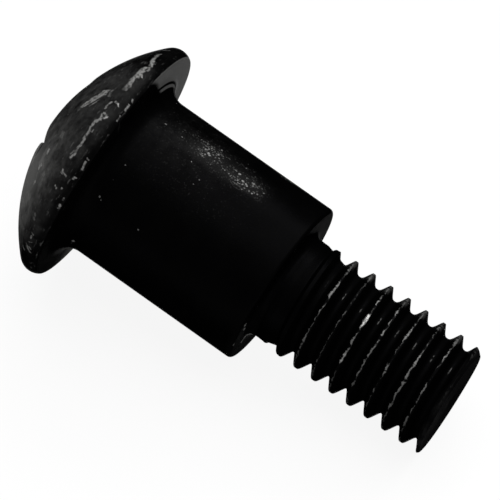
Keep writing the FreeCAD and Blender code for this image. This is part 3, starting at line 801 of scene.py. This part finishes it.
def scuff(nodes, at, rough, mark):
    """Give the mask of one straight scuff on the head, its ends tapered and its edge roughened by noise.

    The share runs from -1/2 at the scuff's start to 1/2 at its end. The distance off its line is taken along
    the axis, or around the head for a scuff that runs towards the peak.
    """
    turn_a, along_a, turn_b, along_b, width, strength = mark
    turn_span, turn_middle = turn_b - turn_a, (turn_a + turn_b) / 2
    along_span, along_middle = along_b - along_a, (along_a + along_b) / 2
    if abs(turn_span) * RIM_MM_PER_DEGREE > abs(along_span):
        share = nodes.math("MULTIPLY_ADD", at.turn, 1 / turn_span, -turn_middle / turn_span)
        line = nodes.math("MULTIPLY_ADD", share, along_span, along_middle)
        off = nodes.math("SUBTRACT", at.along, line)
    else:
        share = nodes.math("MULTIPLY_ADD", at.along, 1 / along_span, -along_middle / along_span)
        line = nodes.math("MULTIPLY_ADD", share, turn_span, turn_middle)
        off = nodes.math("MULTIPLY", nodes.math("SUBTRACT", at.turn, line), RIM_MM_PER_DEGREE)
    off = nodes.math("MULTIPLY_ADD", rough, -4.0 * min(width, 0.05), nodes.math("ABSOLUTE", off))
    across = nodes.fade(off, width * 1.3, width * 0.6)
    return product(nodes, across, nodes.fade(nodes.math("ABSOLUTE", share), 0.58, 0.46), strength)


def end_face_glint(nodes, at, uneven, glint_line):
    """Give the mask of one straight painted glint on the shoulder's end face, with the share as in a scuff.

    The distance off its line counts only three tenths, because the face is seen almost edge-on.
    """
    x_a, y_a, x_b, y_b, width = glint_line
    x_span = x_b - x_a
    share = nodes.math("MULTIPLY_ADD", at.x, 1 / x_span, -(x_a + x_b) / 2 / x_span)
    line = nodes.math("MULTIPLY_ADD", share, y_b - y_a, (y_a + y_b) / 2)
    off = nodes.math("MULTIPLY", nodes.math("ABSOLUTE", nodes.math("SUBTRACT", at.y, line)), 0.3)
    across = nodes.fade(nodes.math("ADD", off, uneven), width, 0.0)
    return product(nodes, across, nodes.fade(nodes.math("ABSOLUTE", share), 0.55, 0.45))


def head_wear_and_sheen(nodes, at, noise, settings):
    """Give the head's masks: a thin layer rubbed over the crown and the rim, with painted sheen on the
    crown's near and left sides, dashes around it, and the scuffs.
    """
    wear_and_sheen = settings.wear_and_sheen
    # Inside the recess the place is nearer to the crown's centre than the crown is.
    crown_radius = settings.crown_radius() / MM
    from_centre = nodes.math("SUBTRACT", at.along, crown_radius - settings.head.height / MM)
    from_centre = nodes.vector("LENGTH", nodes.combine(at.x, at.y, from_centre))
    skin = nodes.fade(from_centre, crown_radius - 0.12, crown_radius - 0.03)
    outside = product(nodes, nodes.fade(at.along, 0.03, -0.05),
                      nodes.math("MAXIMUM", skin, nodes.fade(at.reach, 2.6, 2.9)))

    crown = nodes.fade(at.along, -0.5, -1.5)
    # Painted sheen: more steel colour on the crown's side towards the camera.
    lit_side = near(nodes, at.turn, 0.0, 90.0, 40.0)
    # Painted reflection of the floor: the crown much lighter on its left side as the camera sees it.
    left = product(nodes, nodes.fade(at.along, -0.5, -1.7), near(nodes, at.turn, 48.0, 60.0, 10.0))
    rim = product(nodes, nodes.fade(at.along, -0.1, -0.45), near(nodes, at.turn, 5.0, 62.0, 38.0))
    level = nodes.math("MULTIPLY_ADD", crown, wear_and_sheen.crown, wear_and_sheen.head)
    level = nodes.math("MULTIPLY_ADD", product(nodes, crown, lit_side), wear_and_sheen.lit_crown, level)
    level = nodes.math("MULTIPLY_ADD", rim, wear_and_sheen.rim, level)
    level = nodes.math("MULTIPLY_ADD", left, wear_and_sheen.left_crown, level)
    mottle = nodes.math("MULTIPLY", nodes.math("MULTIPLY_ADD", nodes.fade(noise.patches, 0.3, 0.7), 0.7, 0.4),
                        nodes.math("MULTIPLY_ADD", nodes.fade(noise.clumps, 0.3, 0.7), 0.4, 0.8))
    # The painted reflection on the left side is not broken up.
    mottle = nodes.math("MAXIMUM", mottle, nodes.math("MULTIPLY", left, 0.85))
    rub_and_sheen = product(nodes, outside, mottle, level)

    # The dashes stop short of the turn's jump from 180 to -180 degrees.
    short_of_jump = nodes.fade(nodes.math("ABSOLUTE", at.turn), 179.0, 168.0)
    dashes = product(nodes, outside, nodes.fade(noise.dashes, 0.58, 0.72), nodes.fade(noise.cloud, 0.35, 0.6),
                     short_of_jump, wear_and_sheen.dashes)
    scuffs = joined(nodes, (scuff(nodes, at, noise.rough, mark) for mark in HEAD_MARKS))
    through = nodes.math("MULTIPLY_ADD", nodes.fade(noise.fine, 0.4, 0.54), 0.72, 0.28)
    scuffs = product(nodes, scuffs, outside, through, wear_and_sheen.scuffs)
    return rub_and_sheen, dashes, scuffs


def shoulder_wear_and_sheen(nodes, at, noise, settings):
    """Give the shoulder's masks: soft rubs with fine grit that paint a sheen band on its upper side, single
    specks, and painted glints on its end face.
    """
    wear_and_sheen = settings.wear_and_sheen
    half_shoulder = settings.shank.shoulder_diameter / MM / 2
    # Painted sheen: the soft rubs and the band lighten the shoulder's upper side along the lamp's highlight
    # band, with fine grit.
    soft = product(nodes, near(nodes, at.turn, -52.0, 40.0, 6.0), near(nodes, at.along, 2.0, 2.2, 0.5),
                   nodes.fade(noise.patches, 0.25, 0.65))
    band = product(nodes, near(nodes, at.turn, -47.0, 15.0, 3.0), near(nodes, at.along, 3.2, 2.2, 0.5))
    loose = product(nodes, near(nodes, at.turn, -24.0, 30.0, 6.0), near(nodes, at.along, 2.8, 3.0, 0.8))
    gritty = product(nodes, nodes.fade(noise.grit, 0.55, 0.7), nodes.fade(noise.clumps, 0.4, 0.62))
    crowded = product(nodes, nodes.fade(noise.grit, 0.5, 0.64), nodes.fade(noise.clumps, 0.42, 0.58))
    first_cluster = product(nodes, near(nodes, at.turn, -47.5, 9.0, 2.0),
                            near(nodes, at.along, 2.6, 0.6, 0.15))
    second_cluster = product(nodes, near(nodes, at.turn, -43.5, 9.0, 2.0),
                             near(nodes, at.along, 4.2, 0.85, 0.2))
    rub_and_sheen = joined(nodes, [
        product(nodes, soft, nodes.math("MULTIPLY_ADD", gritty, 0.045, 0.006)),
        product(nodes, band, nodes.math("MULTIPLY_ADD", gritty, 0.2, 0.008)),
        product(nodes, nodes.math("MAXIMUM", first_cluster, second_cluster),
                nodes.math("MULTIPLY_ADD", crowded, 0.3, 0.008)),
        product(nodes, loose, gritty, 0.02),
    ])

    # Each speck lessens the least distance outside a speck, and all share one soft edge. The distances are
    # taken on the shoulder rolled out flat.
    mm_per_degree = half_shoulder * math.pi / 180
    flat = nodes.combine(nodes.math("MULTIPLY", at.turn, mm_per_degree), at.along)
    least = 9.0
    for turn, along, radius in SHOULDER_SPECKS:
        distance = nodes.vector("DISTANCE", flat, (turn * mm_per_degree, along, 0))
        least = nodes.math("MINIMUM", least, nodes.math("SUBTRACT", distance, radius))
    uneven = nodes.math("ADD", nodes.math("MULTIPLY_ADD", noise.fine, 0.16, -0.08),
                        nodes.math("MULTIPLY", noise.ragged, 0.5))
    specks = product(nodes, nodes.fade(nodes.math("ADD", least, uneven), 0.0, -0.035),
                     between(nodes, at.along, 0.5, 6.72, 0.08), wear_and_sheen.specks)

    end_face = product(nodes, near(nodes, at.along, 6.85, 0.2, 0.1), nodes.fade(at.reach, 2.93, 2.85))
    # Painted glints on the shoulder's end face.
    end_glints = joined(nodes, (end_face_glint(nodes, at, uneven, glint_line) for glint_line in END_FACE_GLINTS))
    return rub_and_sheen, specks, product(nodes, end_glints, end_face, wear_and_sheen.end_glints)


def thread_wear_and_glints(nodes, at, noise, settings):
    """Give the thread's masks: worn crest lines with painted highlights, painted glints on the tips and
    roots, and a painted sheen on the end face.
    """
    wear_and_sheen = settings.wear_and_sheen
    on_thread = between(nodes, at.along, 8.5, 12.9, 0.6)
    # Two short stretches of one crest were struck flat and shine more.
    struck = joined(nodes, [near(nodes, at.turn, -18.0, 11.0, 3.0), near(nodes, at.turn, 24.0, 9.0, 2.0)])
    struck = product(nodes, struck, near(nodes, at.along, 9.95, 0.25, 0.1))
    # Painted highlight: the crest lines are lighter on the side towards the camera.
    level = nodes.math("MULTIPLY_ADD", near(nodes, at.turn, -12.0, 75.0, 10.0), wear_and_sheen.lit_crests, wear_and_sheen.crests)
    level = nodes.math("MULTIPLY_ADD", struck, wear_and_sheen.struck, level)
    # The worn line wanders a little off the crest, and its width comes and goes.
    wander = nodes.math("MULTIPLY_ADD", noise.clumps, 0.26,
                        nodes.math("MULTIPLY_ADD", noise.patches, 0.16, -0.21))
    off = nodes.math("PINGPONG", nodes.math("ADD", at.wound, wander), 0.5)
    off = nodes.math("MULTIPLY", off, at.pitch)
    width = nodes.math("MULTIPLY_ADD", noise.broken, 0.18, -0.068)
    width = nodes.math("MULTIPLY_ADD", struck, 0.035, width)
    width = nodes.math("ADD", nodes.math("SUBTRACT", width, off), nodes.math("MULTIPLY", noise.ragged, 0.3))
    crests = product(nodes, nodes.fade(width, -0.005, 0.03), nodes.fade(at.reach, 1.85, 1.93), on_thread,
                     nodes.fade(noise.clumps, 0.35, 0.54), level)
    # Painted highlight on the crest tips along the upper outline.
    tips = product(nodes, near(nodes, at.turn, -72.0, 17.0, 7.0), nodes.fade(at.crest, 0.14, 0.04), on_thread,
                   nodes.fade(noise.clumps, 0.35, 0.52), wear_and_sheen.tips)
    # Painted glints: short light lines in the roots on one side.
    roots = product(nodes, nodes.fade(at.crest, 0.326, 0.342), near(nodes, at.turn, -31.0, 6.0, 3.0),
                    between(nodes, at.along, 8.4, 13.0, 0.3), nodes.fade(noise.clumps, 0.4, 0.5), wear_and_sheen.roots)
    # Painted sheen: a lighter patch on the end face around turn 40 degrees.
    end = product(nodes, on_end_face(nodes, at), near(nodes, at.turn, 40.0, 60.0, 20.0),
                  nodes.fade(noise.patches, 0.3, 0.7), wear_and_sheen.end)
    return crests, tips, roots, end


def on_end_face(nodes, at):
    """Give the mask of the thread's end face."""
    return nodes.fade(at.along, 13.2, 13.42)


def painted_reflection_under_head(nodes, at):
    """Give the masks of a painted reflection on the face under the head: for a coat, and in steel colour.

    It lies on the side away from the floor. Its near end runs askew: the turn there falls by 17 degrees
    for each millimetre towards the axis.
    """
    askew = nodes.math("MULTIPLY_ADD", at.reach, -17.0, at.turn)
    far_side = nodes.math("MAXIMUM", nodes.fade(askew, -114.0, -119.0), nodes.fade(at.turn, 110.0, 140.0))
    reflection_coat = product(nodes, between(nodes, at.along, -0.03, 0.012, 0.02), far_side)
    # A painted dark ring breaks the painted reflection near the fillet.
    painted_dark_ring = near(nodes, at.reach, 3.37, 0.06, 0.03)
    bare_and_sheen = product(nodes, between(nodes, at.along, -0.02, 0.11, 0.02), far_side,
                   nodes.math("SUBTRACT", 1.0, painted_dark_ring))
    return reflection_coat, bare_and_sheen


def oxide_gloss(nodes, at, bare_and_sheen):
    """Give how metallic the surface is: the oxide shines like a very dark metal, and exposed steel and
    painted sheen fully.

    Where the oxide is rubbed thin it scatters more. The thread's grooves, the end face and the lower side of
    the shoulder's end face shine less, as painted shade.
    """
    metallic = nodes.math("MULTIPLY_ADD", nodes.fade(bare_and_sheen, 0.0, 0.03), -0.7, 0.75)
    # Painted shade: less shine in the thread's grooves, on the thread's end face and on the lower side of the
    # shoulder's end face.
    grooves = product(nodes, nodes.fade(at.crest, 0.2, 0.3), nodes.fade(at.along, 7.6, 8.0))
    low_side = product(nodes, near(nodes, at.along, 6.85, 0.3, 0.12), nodes.fade(at.turn, 20.0, 50.0))
    metallic = product(nodes, metallic,
                       nodes.math("MULTIPLY_ADD", on_end_face(nodes, at), -0.9, 1.0),
                       nodes.math("MULTIPLY_ADD", low_side, -0.65, 1.0),
                       nodes.math("MULTIPLY_ADD", grooves, -0.5, 1.0))
    return nodes.math("MAXIMUM", metallic, bare_and_sheen)


def oxide_material(settings):
    """Make the black steel: dull dark oxide, worn to the steel in scuffs, on the crests and edges, plus
    painted sheen, glints, reflection and shade.
    """
    nodes = Nodes("black_steel")
    finish = settings.finish
    at = SteelCoordinates(nodes, settings)
    noise = WearNoise(nodes, at)
    reflection_coat, reflection_metal = painted_reflection_under_head(nodes, at)
    # The steel colour covers real worn places and the painted sheen, glints and reflection alike.
    bare_and_sheen = joined(nodes, [
        *head_wear_and_sheen(nodes, at, noise, settings),
        *shoulder_wear_and_sheen(nodes, at, noise, settings),
        product(nodes, reflection_metal, settings.wear_and_sheen.painted_reflection),
        *thread_wear_and_glints(nodes, at, noise, settings),
    ])
    darkest, lightest = ((*(value * share for value in finish.black), 1) for share in (0.6, 1.4))
    oxide = nodes.mix_colour(noise.cloud, darkest, lightest)
    colour = nodes.mix_colour(bare_and_sheen, oxide, (*finish.bare_and_sheen, 1))
    roughness = nodes.math("ADD", nodes.math("MULTIPLY_ADD", noise.cloud, 0.18, finish.roughness - 0.09),
                           nodes.math("MULTIPLY_ADD", noise.fine, 0.1, -0.05))
    grain = nodes.add("ShaderNodeBump", Strength=0.25, Distance=0.00002, Height=noise.fine)
    # The coat weight paints a reflection under the head.
    surface = nodes.add("ShaderNodeBsdfPrincipled", Base_Color=colour, Metallic=oxide_gloss(nodes, at, bare_and_sheen),
                        Roughness=roughness, Normal=grain.outputs[0],
                        Coat_Weight=nodes.math("MULTIPLY", reflection_coat, 0.4))
    surface.inputs["Specular IOR Level"].default_value = 0.0
    surface.inputs["Specular Tint"].default_value = (*finish.edge_tint, 1)
    surface.inputs["Coat Roughness"].default_value = 0.08
    surface.inputs["Coat IOR"].default_value = 1.02
    nodes.add("ShaderNodeOutputMaterial", Surface=surface.outputs[0])
    return nodes.material


def floor_material(settings):
    """Make the pale matt floor: what the camera and mirrors see of it is part lit, part even white."""
    nodes = Nodes("pale_floor")
    surface = nodes.add("ShaderNodeBsdfPrincipled", Base_Color=(*settings.view.floor, 1), Roughness=0.9)
    surface.inputs["Specular IOR Level"].default_value = 0.1
    white = nodes.add("ShaderNodeEmission", Strength=1.0)
    path = nodes.add("ShaderNodeLightPath")
    seen = nodes.math("MAXIMUM", path.outputs["Is Camera Ray"], path.outputs["Is Glossy Ray"])
    seen = nodes.math("MAXIMUM", seen, path.outputs["Is Transmission Ray"])
    mixed = nodes.add("ShaderNodeMixShader", Fac=nodes.math("MULTIPLY", seen, settings.view.even_white))
    nodes.fill(mixed.inputs[1], surface.outputs[0])
    nodes.fill(mixed.inputs[2], white.outputs[0])
    nodes.add("ShaderNodeOutputMaterial", Surface=mixed.outputs[0])
    return nodes.material


class SCREW_OT_body(bpy.types.Operator):
    """Make the screw, head to thread end, as one closed surface"""
    bl_idname = "screw.body"
    bl_label = "Screw"

    def execute(self, context):
        settings = context.scene.shoulder_screw
        points, triangles = ScrewShape(settings).mesh_arrays()
        matrix = np.array(screw_matrix(settings))
        points = points @ matrix[:3, :3].T + matrix[:3, 3]
        piece = mesh_object("screw_body", points, triangles, oxide_material(settings))
        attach(piece, "root")
        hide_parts("screw")
        self.report({"INFO"}, f"{len(triangles)} triangles")
        return {"FINISHED"}


def area_lamp(name, direction, distance, width, height, radiance):
    """Add a rectangular lamp that faces the world's origin, with a set brightness of its face."""
    data = bpy.data.lights.new(name, "AREA")
    data.shape = "RECTANGLE"
    data.size = width
    data.size_y = height
    data.energy = radiance * math.pi * width * height
    lamp = bpy.data.objects.new(name, data)
    bpy.context.scene.collection.objects.link(lamp)
    direction = Vector(direction).normalized()
    lamp.location = direction * distance
    lamp.rotation_euler = direction.to_track_quat("Z", "Y").to_euler()


class SCREW_OT_stage(bpy.types.Operator):
    """Lay the floor, hang the lamps and set the camera"""
    bl_idname = "screw.stage"
    bl_label = "Stage"

    def execute(self, context):
        scene = context.scene
        settings = scene.shoulder_screw
        view = settings.view
        matrix = screw_matrix(settings)
        origin = matrix.translation

        mesh = bpy.data.meshes.new("floor")
        side = 1.5
        corners = [(-side, -side, 0), (side, -side, 0), (side, side, 0), (-side, side, 0)]
        mesh.from_pydata(corners, [], [(0, 1, 2, 3)])
        mesh.materials.append(floor_material(settings))
        floor = bpy.data.objects.new("floor", mesh)
        scene.collection.objects.link(floor)

        # The screw's axes as the camera should see them, and the turn that takes them to the world.
        tilt, roll = view.tilt, view.roll
        along = Vector((math.cos(tilt) * math.cos(roll), -math.cos(tilt) * math.sin(roll), math.sin(tilt)))
        first = Vector((-math.sin(roll), -math.cos(roll), 0))
        second = Vector((-math.sin(tilt) * math.cos(roll), math.sin(tilt) * math.sin(roll), math.cos(tilt)))
        seen = Matrix((first, second, along)).transposed()
        turn = matrix.to_3x3() @ seen.transposed()
        data = bpy.data.cameras.new("camera")
        data.lens = view.lens
        data.sensor_width = 36
        data.clip_start = 0.01
        camera = bpy.data.objects.new("camera", data)
        scene.collection.objects.link(camera)
        place = turn.to_4x4()
        place.translation = origin - turn @ Vector((-view.left, view.above, -view.distance))
        camera.matrix_world = place
        scene.camera = camera

        lamps = settings.lamps
        area_lamp("overhead", direction=(0.0, 0.35, 0.93), distance=0.8, width=1.2, height=1.0,
                  radiance=lamps.overhead)
        area_lamp("back", direction=(-0.03, 0.81, 0.58), distance=0.8, width=0.6, height=0.3,
                  radiance=lamps.back)
        world = bpy.data.worlds.new("studio")
        world.use_nodes = True
        background = world.node_tree.nodes["Background"]
        background.inputs["Color"].default_value = (*[lamps.surround] * 3, 1)
        scene.world = world
        scene.view_settings.view_transform = "Standard"
        return {"FINISHED"}


class SCREW_PT_panel(bpy.types.Panel):
    """The screw's operators and sizes in the 3D view's sidebar"""
    bl_idname = "SCREW_PT_panel"
    bl_label = "Shoulder screw"
    bl_space_type = "VIEW_3D"
    bl_region_type = "UI"
    bl_category = "Shoulder screw"

    def draw(self, context):
        settings = context.scene.shoulder_screw
        for operator in OPERATORS:
            self.layout.operator(operator.bl_idname)
        groups = (settings.head, settings.shank, settings.finish, settings.wear_and_sheen, settings.view,
                  settings.lamps)
        for group in groups:
            box = self.layout.box()
            for name in type(group).__annotations__:
                box.prop(group, name)


OPERATORS = (SCREW_OT_body, SCREW_OT_stage)
CLASSES = (HeadSizes, ShankSizes, Finish, WearAndSheen, View, Lamps, ScrewSettings, *OPERATORS, SCREW_PT_panel)


def register():
    """Add the classes and the settings to Blender."""
    for item in CLASSES:
        bpy.utils.register_class(item)
    bpy.types.Scene.shoulder_screw = PointerProperty(type=ScrewSettings)


def unregister():
    """Take the settings and the classes out of Blender."""
    del bpy.types.Scene.shoulder_screw
    for item in reversed(CLASSES):
        bpy.utils.unregister_class(item)


def main():
    """Make the whole scene."""
    register()
    bpy.ops.screw.body()
    bpy.ops.screw.stage()


if __name__ == "__main__":
    main()
